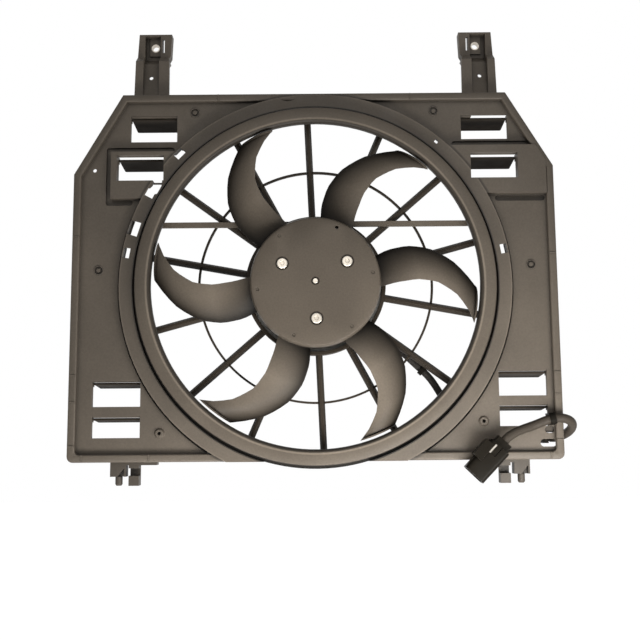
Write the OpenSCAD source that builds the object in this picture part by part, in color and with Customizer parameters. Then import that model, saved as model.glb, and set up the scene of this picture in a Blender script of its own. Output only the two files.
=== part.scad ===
// Condenser fan of a car: a moulded shroud panel with a fan ring, a six-blade fan on a flat
// outer-rotor motor, eight ram-air flaps, two bolt brackets, two feet and the wiring.
// Every sub-part is drawn as seen from the radiator side: x to the right, y up, and the
// third axis towards the viewer. stand() turns that drawing upright.

/* [Panel] */
// Distance from the fan axis to the left edge
panel_left = 331; // [326:1:345]
// Distance from the fan axis to the right edge
panel_right = 328; // [325:1:345]
// Height of the top edge above the fan axis
panel_top = 268; // [267:1:285]
// Depth of the bottom edge below the fan axis
panel_bottom = 237; // [232:1:242]
// Half width of the top edge
top_half = 265.5; // [258:0.5:275]
// Height of the left shoulder
left_shoulder = 155; // [145:1:170]
// Height of the right shoulder
right_shoulder = 163; // [150:1:175]
// Thickness of the sheet
sheet_t = 2.5; // [2:0.1:3]
// Width of the rim that runs round the edge
rim_w = 10.5; // [9:0.5:12]
// Height of the rim's crest over the sheet
rim_h = 8; // [6:0.5:10]
// Reach of the rim's outer wall behind the sheet's front
rim_skirt = 8; // [5:0.5:10]
// Radius of the two bottom corners
corner_r = 8; // [4:0.5:9]
// Height of the raised zone round the ring
zone_h = 9; // [8.5:0.25:12]
// Width of the raised zone round the ring's groove
zone_w = 18.5; // [15:0.5:19.5]
// Depth of the pressed grooves
groove_d = 4; // [2:0.5:6]

/* [Fan ring] */
// Inner radius of the barrel that the blades run in
barrel_r = 221.5; // [220:0.5:223]
// Distance by which the barrel widens towards its back
barrel_flare = 13.5; // [10:0.5:15]
// Wall of the ring
ring_t = 3; // [2:0.25:3.5]
// Height of the lip over the sheet
lip_h = 22; // [18:0.5:26]
// Radius of the lip's rounded inner edge
lip_round = 6.5; // [5:0.5:8]
// Width of the lip from the barrel to its outer wall
lip_w = 21.5; // [20:0.5:22]
// Width of the groove between the lip and the panel
groove_w = 4.5; // [3.5:0.25:5.5]
// Reach of the barrel behind the sheet's front
barrel_back = 22; // [20:0.5:26]

/* [Flap windows] */
// Width of every window
window_w = 64.5; // [60:0.5:66]
// Side gap between a flap and its window
flap_gap = 0.6; // [0.4:0.1:1.2]
// Thickness of a flap
flap_t = 1.8; // [1.2:0.1:2.4]
// Distance of the hinge below the window's top edge
hinge_drop = 3.5; // [3:0.1:4.5]
// Distance of the hinge behind the sheet's front
hinge_back = 7; // [6.5:0.25:8]
// Length by which a closed flap overlaps the window's bottom edge
flap_lap = 5; // [3:0.5:6]
// Angle that a flap stands off its closed position
flap_open = 84; // [70:1:86]
// Radius of a flap's hinge pin
pin_r = 1.2; // [1:0.05:1.4]
// Radial clearance of a hinge pin
pin_clear = 0.05; // [0.03:0.01:0.1]
// Thickness of a hinge ear
ear_t = 2.2; // [1.8:0.1:3]

/* [Spokes and motor ring] */
// Number of spokes
spoke_n = 14; // [11:1:16]
// Width of a spoke
spoke_w = 9.5; // [7:0.5:11]
// Distance of a spoke's front edge behind the sheet's front
spoke_front = 8; // [7:0.5:10]
// Distance of a spoke's back edge behind the sheet's front
spoke_back = 20; // [17:0.5:20]
// Radius of the thin hoop that ties the spokes
hoop_r = 160; // [130:1:190]
// Width of the hoop
hoop_w = 3; // [2:0.5:5]
// Height of the tie bar over the fan axis
tie_y = 85; // [75:1:90]
// Height of the tie bar's section
tie_w = 7.5; // [5:0.5:10]
// Distance of the motor ring's outer wall from the rear cover
motor_ring_w = 19; // [16:0.5:23]
// Wall of the motor ring
motor_ring_t = 5; // [4:0.25:6]

/* [Fan] */
// Number of blades
blade_n = 6; // [5:1:7]
// Gap between the blade tips and the barrel
tip_gap = 3; // [2.5:0.25:6]
// Outer radius of the hub
hub_r = 87.5; // [84:0.5:88.5]
// Height of the hub's face over the sheet
hub_face = 32; // [30:0.5:36]
// Thickness of the hub's disc and wall
hub_t = 3; // [2.5:0.25:3.5]
// Height of the blades' leading edge at the hub
lead_h = 24; // [18:0.5:25]
// Height of the blades' trailing edge at the hub
trail_h = 3; // [1:0.5:6]
// Camber of the blades
camber = 4; // [2:0.25:6]
// Thickness of the blades
blade_t = 3; // [2:0.25:4]
// Radius of the circle of the fan screws
screw_pc_r = 50; // [44:1:56]

/* [Motor] */
// Outer radius of the rotor bell
bell_r = 80; // [74:0.5:81]
// Wall of the rotor bell
bell_t = 2.5; // [2:0.25:3]
// Radius of the shaft
shaft_r = 3.5; // [3:0.25:4]
// Radial clearance of the shaft in its bearings
shaft_clear = 0.03; // [0.02:0.01:0.08]
// Outer radius of the bearings
bearing_r = 9.5; // [9:0.25:11]
// Width of a bearing
bearing_w = 6; // [5:0.5:7]
// Number of stator teeth
tooth_n = 12; // [9:3:15]
// Number of rotor magnets
magnet_n = 14; // [10:2:16]
// Thickness of the magnets
magnet_t = 4; // [3:0.5:5]
// Air gap between stator and magnets
air_gap = 1; // [0.6:0.1:1.6]
// Outer radius of the rear cover
cover_r = 77; // [72:0.5:80]
// Reach of the rear cover behind the sheet's front
cover_back = 44; // [40:0.5:46]
// Height of the cooling fins on the rear cover
fin_h = 4; // [2:0.5:6]

/* [Brackets and feet] */
// Spacing of the two bracket bolt holes
bolt_spacing = 457; // [440:1:480]
// Height of the bolt holes over the fan axis
bolt_y = 348; // [340:1:356]
// Distance of the bolt plates behind the sheet's front
bolt_back = 25; // [22:0.5:28]
// Radius of the bolt holes in the bushes
bolt_r = 4.5; // [3.5:0.25:5]
// Wall of the steel bushes
bush_t = 1.5; // [1:0.1:1.8]
// Width of a bracket
bracket_w = 48; // [46:1:52]
// Thickness of the bracket's walls
bracket_t = 3; // [2.5:0.25:4]
// Reach of the foot pegs below the bottom edge
peg_reach = 31; // [26:1:36]
// Radius of the foot pegs
peg_r = 4.8; // [4:0.2:5.6]

/* [Wiring] */
// Diameter of the pigtail's sheath
pigtail_d = 12; // [10:0.5:12.5]
// Diameter of the motor lead
lead_d = 10; // [8:0.5:10]
// Width of the connector
connector_w = 31; // [28:0.5:34]
// Length of the connector's front barrel
connector_l = 38; // [34:0.5:42]

/* [Hidden] */

$fn = 96;
cut = 1;                                // overshoot of a cutting tool
seat_gap = 0.3;                         // gap where two pieces only lie together
bracket_mid_x = 2;                      // the brackets sit a little right of the fan axis
lip_out_r = barrel_r + lip_w;
seat_r = lip_out_r + groove_w;          // the ring meets the panel here
zone_r = seat_r + zone_w;
throat_low = lip_h - lip_round - 3.5;   // the barrel widens from here to its back
motor_ring_r = cover_r + motor_ring_w;
plastic = "#5c544c";
dark_plastic = "#2b2723";
steel = "#c9c3b8";

// Turns a drawing upright and puts the origin midway between the bracket bolt holes
module stand() {
    translate([-bracket_mid_x, -bolt_back, -bolt_y]) rotate([90, 0, 0]) children();
}

// A slab of a flat drawing between two heights
module slab(low, high) {
    translate([0, 0, low]) linear_extrude(height = high - low) children();
}

// A box from its low corner to its high corner
module block(low, high) {
    translate(low) cube(high - low);
}

// A flat ring between two radii
module washer(outer, inner) {
    difference() {
        circle(r = outer);
        circle(r = inner);
    }
}

// A pie slice from one angle to another, at most 170 degrees wide
module slice(from, to, reach) {
    mid = (from + to) / 2;
    long = reach / cos((to - from) / 2);
    polygon([[0, 0], reach * [cos(from), sin(from)], long * [cos(mid), sin(mid)],
        reach * [cos(to), sin(to)]]);
}

// Places of the windows: centre x, top edge, height, the level of the sheet there and the
// share of the width, counted from the left, along which a lintel hangs in front of the hinge
window_places = [
    [-223, 239.5, 37.5, 0, 1], [-239.8, 181, 36, zone_h, 0],
    [-268.2, -129, 34.5, 0, 1], [-268.2, -176.5, 28.5, 0, 1],
    [236, 237.5, 34.5, 0, 0.23], [246.8, 181, 35.5, zone_h, 0],
    [277.3, -118, 34.5, 0, 1], [277.3, -164.5, 28.5, 0, 1]];
lintel_drop = 1.5;

// Outline of the panel, moved in by some distance, anticlockwise from the top right
function line_inset(p, q, d) = let (n = [p.y - q.y, q.x - p.x] / norm(q - p)) [p + d * n, q + d * n];
function meet(a, b) = let (u = a[1] - a[0], v = b[1] - b[0], w = b[0] - a[0],
    t = (w.x * v.y - w.y * v.x) / (u.x * v.y - u.y * v.x)) a[0] + t * u;
panel_corners = [[top_half, panel_top], [-top_half, panel_top], [-panel_left, left_shoulder],
    [-panel_left, -panel_bottom], [panel_right, -panel_bottom], [panel_right, right_shoulder]];
corner_steps = 5;
function corner_arc(c, r, from) = [for (i = [0 : corner_steps])
    let (a = from + 90 * i / corner_steps) c + r * [cos(a), sin(a)]];
function inset_corner(i, d) = let (n = len(panel_corners), p = panel_corners[(i + n - 1) % n],
    q = panel_corners[i], s = panel_corners[(i + 1) % n])
    meet(line_inset(p, q, d), line_inset(q, s, d));
function panel_outline(d) = let (r = max(corner_r - d / 4, 1),
    low_left = inset_corner(3, d), low_right = inset_corner(4, d)) concat(
    [for (i = [0 : 2]) inset_corner(i, d)],
    corner_arc(low_left + [r, r], r, 180),
    corner_arc(low_right + [-r, r], r, 270),
    [inset_corner(5, d)]);

// A ring-shaped solid swept along the panel's outline: each profile point is [inset, height]
module swept_rim(profile) {
    n = len(panel_outline(0));
    m = len(profile);
    points = [for (p = profile) for (q = panel_outline(p.x)) [q.x, q.y, p.y]];
    faces = [for (j = [0 : m - 1]) for (i = [0 : n - 1])
        [j * n + i, ((j + 1) % m) * n + i, ((j + 1) % m) * n + (i + 1) % n, j * n + (i + 1) % n]];
    polyhedron(points, faces, convexity = 8);
}

// Raised zone round the ring with its two side fields, grown by g
zone_top = 262.5;
field_top = 186;
field_bottom = 120;
left_field_x = -280;
right_field_top = 192;
right_field_x = panel_right - rim_w;
module zone(g) {
    difference() {
        union() {
            intersection() {
                circle(r = zone_r + g);
                translate([-300, -panel_bottom - 0.5]) square([600, 600]);
            }
            translate([left_field_x - g, field_bottom - g])
                square([90 + g, field_top - field_bottom + 2 * g]);
            intersection() {
                translate([180, field_bottom + 4 - g])
                    square([right_field_x - 180 + g, right_field_top - field_bottom - 4 + 2 * g]);
                polygon(panel_outline(rim_w - 5));
            }
        }
        translate([-panel_left, zone_top + g]) square([panel_left + panel_right, 40]);
        translate([-37, 278.5]) circle(r = 22 - g);
    }
}

// A straight groove outline between two points, with round ends
module groove_line(a, b, w) {
    d = b - a;
    translate(a) rotate(atan2(d.y, d.x)) translate([0, -w / 2]) square([norm(d), w]);
    translate(a) circle(d = w);
    translate(b) circle(d = w);
}

// All the pressed grooves of the panel
module grooves(g) {
    w = 8 + 2 * g;
    side = 4;
    groove_line([left_field_x - side, field_bottom - side], [left_field_x - side, field_top + side], w);
    groove_line([left_field_x - side, field_top + side], [-198, field_top + side], w);
    groove_line([left_field_x - side, field_bottom - side], [-255, field_bottom - side], w);
    groove_line([194, right_field_top + side], [292, right_field_top + side], w);
    groove_line([252, field_bottom - 1], [right_field_x - 5, field_bottom - 1], w);
    difference() {
        intersection() {
            washer(zone_r + 3 + g, zone_r - g);
            translate([-290, -panel_bottom + rim_w]) square([580, 118 + panel_bottom - rim_w]);
        }
        circle(r = zone_r - g);
    }
}

// Places of the slots in the raised zone: angle, radius, width and length along the ring
slot_places = [[10.3, 260, 9, 13], [135.5, 260.5, 10, 14], [170.2, 260, 9, 14],
    [162.4, 258.5, 14, 20], [150.6, 258.5, 12, 11], [49.6, 259, 5, 5]];
// Bosses: place and radius of the hole, where a hole goes through
boss_places = [[-166, 243.6], [166, 243.6], [-295.5, 21.6], [294, 25.7]];
screw_boss_places = [[-209.4, -199.3], [223.2, -186.2]];
screw_boss_r = 2.3;
// Cross ribs of the rim: place and whether the rim runs sideways there
rib_places = [[-panel_left, 67, 0], [-panel_left, -121.5, 0], [-panel_left, -157, 0],
    [-panel_left, -215.5, 0], [panel_right, 40, 0], [panel_right, -121.5, 0],
    [panel_right, -151, 0], [panel_right, -211, 0], [-133, panel_top, 1], [133, panel_top, 1],
    [-311, -panel_bottom, 1], [-222, -panel_bottom, 1], [310, -panel_bottom, 1]];

module shroud_panel() {
    wall = 2.2;
    rim_profile = [[0, -rim_skirt], [0, rim_h - 2.5], [0.8, rim_h - 0.8], [2.4, rim_h],
        [rim_w - 1.6, rim_h - 0.3], [rim_w - 0.3, rim_h - 1.3], [rim_w, 0], [rim_w, -sheet_t],
        [rim_w - wall, -sheet_t], [rim_w - wall, rim_h - wall - 0.6], [wall, rim_h - wall],
        [wall, -rim_skirt]];
    color(plastic) stand() difference() {
        union() {
            slab(-sheet_t, 0) polygon(panel_outline(rim_w - wall / 2));
            swept_rim(rim_profile);
            slab(-sheet_t, zone_h) zone(0);
            slab(-window_back, -sheet_t / 2) grooves(2);
            for (w = window_places) {
                window_frame(w);
                window_ears(w);
                if (w[4] > 0) window_lintel(w);
            }
            for (b = boss_places) translate([b.x, b.y, -sheet_t - 2])
                cylinder(r = 6.5, h = sheet_t + 3);
            for (b = screw_boss_places) translate([b.x, b.y, 0]) {
                translate([0, 0, -sheet_t - 7]) cylinder(r = 6, h = sheet_t + 7.6);
                translate([0, 0, -1]) cylinder(r1 = 8, r2 = 5, h = 4);
            }
            block([303, -201.7, -sheet_t - 2.6], [318.5, -192, -sheet_t / 2]);
            for (r = rib_places) rim_rib(r);
        }
        // hollow back of the raised zone
        difference() {
            slab(-window_back - cut, zone_h - sheet_t) zone(-sheet_t);
            slab(-window_back - 2 * cut, zone_h) circle(r = seat_r + 1.9);
            for (w = window_places) window_collar(w);
        }
        slab(-groove_d, cut) difference() {
            grooves(0);
            zone(0);
        }
        slab(-rim_skirt - cut, lip_h) circle(r = seat_r);
        for (w = window_places) window_hole(w);
        for (s = slot_places) rotate(s[0]) translate([s[1] - s[2] / 2, -s[3] / 2, -sheet_t - cut])
            cube([s[2], s[3], zone_h + sheet_t + 2 * cut]);
        for (b = boss_places) translate([b.x, b.y, 0]) slab(-1.8, cut) washer(5.6, 2.8);
        for (b = screw_boss_places) translate([b.x, b.y, -sheet_t - 4])
            cylinder(r = screw_boss_r, h = 20);
        translate([-304, 162, -sheet_t - cut]) cylinder(r = 2.6, h = 10);
        slab(-sheet_t - cut, cut) groove_line([303, -215.5], [315, -215.5], 10);
        slab(-sheet_t - 1.2, cut) groove_line([309, -198], [312.5, -198], 9);
        // notch under the second left window
        slab(-sheet_t - cut, zone_h + cut) polygon([[-222, 146], [-222, 138], [-229, 131],
            [-224, 125], [-216, 126], [-210, 137], [-209, 146]]);
    }
}

// A cross rib on the rim's crest
module rim_rib(r) {
    along = r[2] == 1;
    size = along ? [1.6, rim_w - 1.5] : [rim_w - 1.5, 1.6];
    low = [r[0] > 0 && !along ? -rim_w + 0.5 : along ? -0.8 : 1,
        along ? (r[1] > 0 ? -rim_w + 0.5 : 1) : -0.8];
    translate([r[0] + low.x, r[1] + low.y, rim_h - 2]) cube([size.x, size.y, 2.7]);
}

// Walls round a window between the back of the panel and the level of its front
module window_collar(w) {
    block([w[0] - window_w / 2 - ear_t, w[1] - w[2] - ear_t, -hinge_back - 5],
        [w[0] + window_w / 2 + ear_t, w[1] + ear_t, w[3]]);
}

module window_hole(w) {
    left = w[0] - window_w / 2;
    top = w[1] - (w[4] == 1 ? lintel_drop : 0);
    block([left + (w[4] < 1 ? w[4] * window_w : 0), w[1] - w[2], -hinge_back - 5],
        [left + window_w, top, w[3] + cut]);
    if (w[4] > 0) {
        block([left, w[1] - w[2], w[3] - 1.2], [left + window_w, w[1], w[3] + cut]);
        block([left, w[1] - w[2], -hinge_back - 5], [left + window_w, w[1] - lintel_drop, w[3]]);
    }
}

// Lintel over a window, a little behind the sheet's front
module window_lintel(w) {
    left = w[0] - window_w / 2 - ear_t;
    block([left, w[1] - lintel_drop, -hinge_back - 2],
        [left + w[4] * window_w + (w[4] == 1 ? 2 : 1) * ear_t, w[1] + 1.2, w[3] - 1.2]);
}

// Rim behind a window that the closed flap lies against
window_back = hinge_back - flap_t / 2 - seat_gap;
module window_frame(w) {
    block([w[0] - window_w / 2 - ear_t, w[1] - w[2] - ear_t, -window_back],
        [w[0] + window_w / 2 + ear_t, w[1] - hinge_drop - 4, -sheet_t / 2]);
}

// Two ears behind a window, with the bores that the flap's pins turn in
module window_ears(w) {
    for (side = [-1, 1]) {
        inner = w[0] + side * window_w / 2;
        difference() {
            block([min(inner, inner + side * ear_t), w[1] - hinge_drop - 4, -hinge_back - 4],
                [max(inner, inner + side * ear_t), w[1] + 1, w[3] - 0.5]);
            translate([inner - side * cut, w[1] - hinge_drop, -hinge_back]) rotate([0, side * 90, 0])
                cylinder(r = pin_r + pin_clear, h = ear_t + 2 * cut);
        }
    }
}

// Fan ring: barrel, raised lip and the groove that parts it from the panel
module fan_ring() {
    edge = [for (a = [0 : 15 : 90]) [1 - cos(a), sin(a)]];
    inner_edge = [for (e = edge) [barrel_r + lip_round * e.x, lip_h - lip_round * (1 - e.y)]];
    under = lip_round - ring_t;
    under_edge = [for (i = [6 : -2 : 0]) [barrel_r + ring_t + under * edge[i].x,
        lip_h - lip_round + under * edge[i].y]];
    profile = concat([[barrel_r + barrel_flare, -barrel_back], [barrel_r, throat_low]], inner_edge,
        [[lip_out_r - 3, lip_h], [lip_out_r - 1.2, lip_h - 0.6], [lip_out_r, lip_h - 2.4],
        [lip_out_r, 0], [seat_r, 0], [seat_r, -sheet_t], [lip_out_r - ring_t, -sheet_t],
        [lip_out_r - ring_t, lip_h - ring_t]], under_edge,
        [[barrel_r + ring_t, throat_low], [barrel_r + barrel_flare + ring_t, -barrel_back]]);
    color(plastic) stand() {
        rotate_extrude($fn = 180) polygon(profile);
        // bridge that closes the groove at the top
        slab(-sheet_t, zone_h) intersection() {
            washer(seat_r, lip_out_r - 0.5);
            slice(93.2, 102.7, seat_r + 5);
        }
    }
}

spoke_first = 15.3;
spoke_pitch = 360 / spoke_n;
spoke_mid = (spoke_front + spoke_back) / 2;

// Everything outside the widening part of the barrel's inner wall
module beyond_barrel() {
    far = barrel_r + barrel_flare + 40;
    rotate_extrude($fn = 180) polygon([[barrel_r + barrel_flare, -barrel_back], [far, -barrel_back],
        [far, throat_low], [barrel_r, throat_low]]);
}

// A spoke lies between the motor ring and the barrel; its section has a rounded front
module spoke_bar(angle, from, to, grow = 0) {
    half = spoke_w / 2 + grow;
    rotate(angle) translate([from, 0, 0]) rotate([90, 0, 90]) linear_extrude(height = to - from)
        polygon([[-half + 1.2, -spoke_back], [half - 1.2, -spoke_back], [half, -spoke_back + 2],
            [half, -spoke_front - 5], [half - 3, -spoke_front], [-half + 3, -spoke_front],
            [-half, -spoke_front - 5], [-half, -spoke_back + 2]]);
}

module motor_spokes() {
    color(plastic) stand() for (i = [0 : spoke_n - 1]) difference() {
        spoke_bar(spoke_first + i * spoke_pitch, motor_ring_r - 6, barrel_r + barrel_flare + 6);
        slab(-spoke_back - cut, 0) circle(r = motor_ring_r);
        beyond_barrel();
    }
}

// The hoop's arcs end on the flanks of the spokes
module spoke_hoop() {
    color(plastic) stand() for (i = [0 : spoke_n - 1]) {
        at = spoke_first + i * spoke_pitch;
        difference() {
            slab(-spoke_mid - 2, -spoke_mid + 2) intersection() {
                washer(hoop_r + hoop_w / 2, hoop_r - hoop_w / 2);
                slice(at, at + spoke_pitch, hoop_r + 30);
            }
            for (edge = [at, at + spoke_pitch]) rotate(edge)
                translate([hoop_r - 20, -spoke_w / 2, -spoke_back]) cube([40, spoke_w, spoke_back]);
        }
    }
}

// Straight bar in front of the spokes, in two lengths beside the motor ring
module tie_bar() {
    color(plastic) stand() for (side = [-1, 1]) difference() {
        translate([side > 0 ? 30 : -barrel_r - 10, tie_y - tie_w / 2, -spoke_front])
            cube([barrel_r - 20, tie_w, 4]);
        slab(-spoke_front - cut, 0) circle(r = motor_ring_r);
        beyond_barrel();
    }
}

// Levels of the motor, counted towards the viewer
ledge_h = -spoke_back + 4;              // front of the motor ring's ledge, the base's seat
base_t = 5;
base_front = ledge_h + base_t;
bell_front = hub_face - hub_t;          // the bell's plate lies against the hub's disc
bell_back = 1;
screw_end = bell_front - bell_t - 1.5;  // the fan screws just reach through the bell's plate
stator_low = 3;
stator_high = bell_front - bell_t - 7;
tube_r = bearing_r + 4;
core_r = bell_r - bell_t - magnet_t - air_gap;
ledge_r = cover_r + 1.5;
motor_screw_n = 4;
motor_screw_r = cover_r + 6.5;
screw_shank_r = 2;

module motor_ring() {
    color(plastic) stand() difference() {
        rotate_extrude($fn = 120) polygon([[ledge_r, -spoke_back], [motor_ring_r, -spoke_back],
            [motor_ring_r, -5.8], [motor_ring_r - 0.8, -5], [motor_ring_r - motor_ring_t, -5],
            [motor_ring_r - motor_ring_t, ledge_h], [ledge_r, ledge_h]]);
        motor_screw_places() translate([0, 0, -spoke_back - cut])
            cylinder(r = screw_shank_r + 0.3, h = 10);
    }
}

module motor_screw_places() {
    for (i = [0 : motor_screw_n - 1]) rotate(30 + i * 360 / motor_screw_n)
        translate([motor_screw_r, 0, 0]) children();
}

// Bracket: a channel that rises behind the rim, slopes back and carries the bolt plate.
// It is drawn with u outwards from the fan axis, y up and the height towards the viewer.
bracket_y = panel_top;
step_y = 321;
plate_y = 331;
plate_top = 365;
bolt_u = -1.5;                          // the bolt hole lies a little inside the bracket's middle
plate_back = -bolt_back - bracket_t;
strip_h = -bolt_back + 11;
web_out = 12;
web_in = -10;
bush_r = bolt_r + bush_t;

// Outline of the bracket, with its two long edges moved in by d
module bracket_outline(d) {
    half = bracket_w / 2;
    polygon([[half - d, bracket_y], [half - 1.4 - d, step_y], [half - 1.8 - d, plate_y],
        [half - 3.8 - d, plate_top], [-half - 2 + d, plate_top], [-half - 0.6 + d, plate_y + 2],
        [-half + 2.1 + d, plate_y - 3], [-half - 0.5 + d, step_y], [-half - 0.5 + d, bracket_y]]);
}

// A side view of y and height, carried across the bracket from one u to another
module across(low, high) {
    translate([low, 0, 0]) rotate([90, 0, 90]) linear_extrude(height = high - low) children();
}

module bracket(side) {
    front = -3;
    far = bracket_w;
    low = front - bracket_t;
    web_low = front - 2;
    web_high = front - 11;
    color(plastic) stand() translate([bracket_mid_x + side * (bolt_spacing / 2 - bolt_u), 0, 0])
        mirror([side < 0 ? 1 : 0, 0, 0]) difference() {
            intersection() {
                slab(plate_back, front) bracket_outline(0);
                union() {
                    // two flanges at the front that slope back to the plate's raised strips
                    for (edge = [[web_out, far], [-far, web_in]]) across(edge[0], edge[1])
                        polygon([[bracket_y, front], [step_y, front], [plate_y, strip_h],
                            [plate_top, strip_h], [plate_top, strip_h - bracket_t],
                            [plate_y - 1.3, strip_h - bracket_t], [step_y - 1.3, low], [bracket_y, low]]);
                    // sunk web between them, which falls back to the bolt plate
                    across(web_in, web_out) polygon([[bracket_y, web_low], [step_y, web_high],
                        [plate_y, -bolt_back], [plate_top, -bolt_back], [plate_top, plate_back],
                        [plate_y - 1, plate_back], [step_y - 1, web_high - bracket_t],
                        [bracket_y, web_low - bracket_t]]);
                    // walls between web and flanges
                    for (u = [web_out, web_in - 2]) across(u, u + 2) polygon([[bracket_y, front],
                        [step_y, front], [plate_y, strip_h], [plate_top, strip_h], [plate_top, plate_back],
                        [plate_y, plate_back], [step_y, web_high - bracket_t],
                        [bracket_y, web_low - bracket_t]]);
                    // skirts along the two long edges
                    difference() {
                        across(-far, far) polygon([[bracket_y, front], [step_y, front],
                            [plate_y, strip_h], [plate_top, strip_h], [plate_top, plate_back],
                            [plate_y - 4, plate_back], [step_y - 8, low - 2], [bracket_y, low - 2]]);
                        slab(plate_back - cut, cut) bracket_outline(2.5);
                    }
                    block([-far, plate_top - 2.5, plate_back], [far, plate_top, strip_h]);
                    block([bolt_u - 9.5, bolt_y - 12, plate_back], [bolt_u + 8, plate_top, -bolt_back + 3]);
                }
            }
            translate([bolt_u, bolt_y, plate_back - cut]) cylinder(r = bush_r, h = 20);
            translate([2, 299, -60]) cylinder(r = 2.8, h = 60);
            block([-15.6, bolt_y - 10, -60], [-12.4, bolt_y + 10, 0]);
        }
}

module left_bracket() { bracket(-1); }
module right_bracket() { bracket(1); }

// Steel bushes pressed into the two bolt plates
module bracket_bushes() {
    color(steel) stand() for (side = [-1, 1])
        translate([bracket_mid_x + side * bolt_spacing / 2, bolt_y, 0]) difference() {
            union() {
                translate([0, 0, -bolt_back - bracket_t]) cylinder(r = bush_r, h = bracket_t + 3);
                translate([0, 0, -bolt_back - bracket_t - 1]) cylinder(r = bush_r + 2.5, h = 1);
            }
            translate([0, 0, -bolt_back - 20]) cylinder(r = bolt_r, h = 40);
        }
}

// Foot under the bottom edge: strip, peg block with its peg, and a hook
foot_low = -18;
foot_high = -3;
block_drop = 19;                        // underside of the peg block below the panel's edge
module foot(block_x, hook_x, strip_low, strip_high) {
    top = -panel_bottom;
    color(plastic) stand() {
        difference() {
            union() {
                block([strip_low, top - 4, foot_low], [strip_high, top, foot_high]);
                block([block_x - 10.5, top - block_drop, foot_low],
                    [block_x + 10.5, top - 3, foot_high]);
            }
            // gusset cut beside the peg
            slab(foot_high - 6, foot_high + cut) polygon([[block_x - 2, top - 20], [block_x + 8, top - 20],
                [block_x + 8, top - 8]]);
        }
        // the peg starts at the block's underside
        translate([block_x, top - block_drop, (foot_low + foot_high) / 2]) rotate([90, 0, 0])
            rotate_extrude() polygon([[0, 0], [peg_r, 0], [peg_r, peg_reach - block_drop - 2],
                [peg_r - 1.5, peg_reach - block_drop], [0, peg_reach - block_drop]]);
        difference() {
            block([hook_x - 6.75, top - peg_reach, foot_low], [hook_x + 6.75, top - 3, foot_high]);
            block([hook_x - 8, top - 18, foot_low + 4], [hook_x + 8, top - 8, foot_high + cut]);
        }
    }
}

module left_foot() { foot(-264.5, -243.5, -275, -213); }
module right_foot() { foot(273, 251, 244.25, 283.5); }

// Flap: a plate with a hinge barrel along its top and a pin at each end
module flap(i) {
    w = window_places[i];
    width = window_w - 2 * flap_gap;
    reach = w[2] - hinge_drop + flap_lap;
    corner = 1.5;
    barrel = 1.7;
    color(dark_plastic) stand() translate([w[0], w[1] - hinge_drop, -hinge_back])
        rotate([flap_open, 0, 0]) {
            translate([-width / 2, 0, 0]) rotate([0, 90, 0]) cylinder(r = barrel, h = width);
            translate([-width / 2 - flap_gap - ear_t + 0.2, 0, 0]) rotate([0, 90, 0])
                cylinder(r = pin_r, h = width + 2 * (flap_gap + ear_t - 0.2));
            slab(-flap_t / 2, flap_t / 2) polygon([[-width / 2, 0], [width / 2, 0],
                [width / 2, -reach + corner], [width / 2 - corner, -reach],
                [-width / 2 + corner, -reach], [-width / 2, -reach + corner]]);
            block([-width / 2 + 2, -reach, -flap_t / 2 - 1], [width / 2 - 2, -reach + 1.6, 0]);
        }
}

module flap_left_1() { flap(0); }
module flap_left_2() { flap(1); }
module flap_left_3() { flap(2); }
module flap_left_4() { flap(3); }
module flap_right_1() { flap(4); }
module flap_right_2() { flap(5); }
module flap_right_3() { flap(6); }
module flap_right_4() { flap(7); }

// Blade: stations of share of the span, leading angle, trailing angle, share of the height
blade_first = 10.2;
tip_r = barrel_r - tip_gap;
blade_root_r = hub_r - 1;
lead_curve = [[0, -15], [0.16, -11], [0.37, -9], [0.57, -10.2], [0.78, -15.4], [0.92, -21], [1, -25]];
trail_curve = [[0, 15], [0.16, 15.3], [0.37, 12.4], [0.57, 7.2], [0.78, -1], [0.92, -8], [1, -12]];
rise_curve = [[0, 1], [0.4, 0.95], [0.8, 0.8], [1, 0.7]];
span_steps = 15;
chord_steps = 8;
fence = 2.2;                            // width of the thick strip along the tip
fence_s = 1 - fence / (tip_r - blade_root_r);
spans = concat([for (i = [0 : span_steps]) fence_s * i / span_steps],
    [fence_s + 0.002, 1]);
function half_thick(k, t) = (k > span_steps ? 1.9 : 0.5) * blade_t
    * (0.4 + 0.6 * sqrt(max(0, 4 * t * (1 - t))));
function blade_point(k, t, side) = let (s = spans[k], r = blade_root_r + s * (tip_r - blade_root_r),
    a = lookup(s, lead_curve) * (1 - t) + lookup(s, trail_curve) * t,
    rise = lookup(s, rise_curve), low = trail_h + 2 * (1 - rise),
    h = low + (lead_h - trail_h) * rise * (1 - t) + camber * 4 * t * (1 - t))
    [r * cos(a), r * sin(a), h + side * half_thick(k, t)];
module blade() {
    rows = len(spans);
    cols = 2 * (chord_steps + 1);
    points = [for (k = [0 : rows - 1]) each concat(
        [for (j = [0 : chord_steps]) blade_point(k, j / chord_steps, 1)],
        [for (j = [chord_steps : -1 : 0]) blade_point(k, j / chord_steps, -1)])];
    faces = concat(
        [for (k = [0 : rows - 2]) for (j = [0 : cols - 1]) let (a = k * cols + j,
            b = k * cols + (j + 1) % cols) each [[a, b, b + cols], [a, b + cols, a + cols]]],
        [[for (j = [cols - 1 : -1 : 0]) j]],
        [[for (j = [0 : cols - 1]) (rows - 1) * cols + j]]);
    polyhedron(points, faces, convexity = 6);
}

screw_first = 31.5;
module screw_places() {
    for (i = [0 : 2]) rotate(screw_first + 120 * i) translate([screw_pc_r, 0, 0]) children();
}

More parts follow.
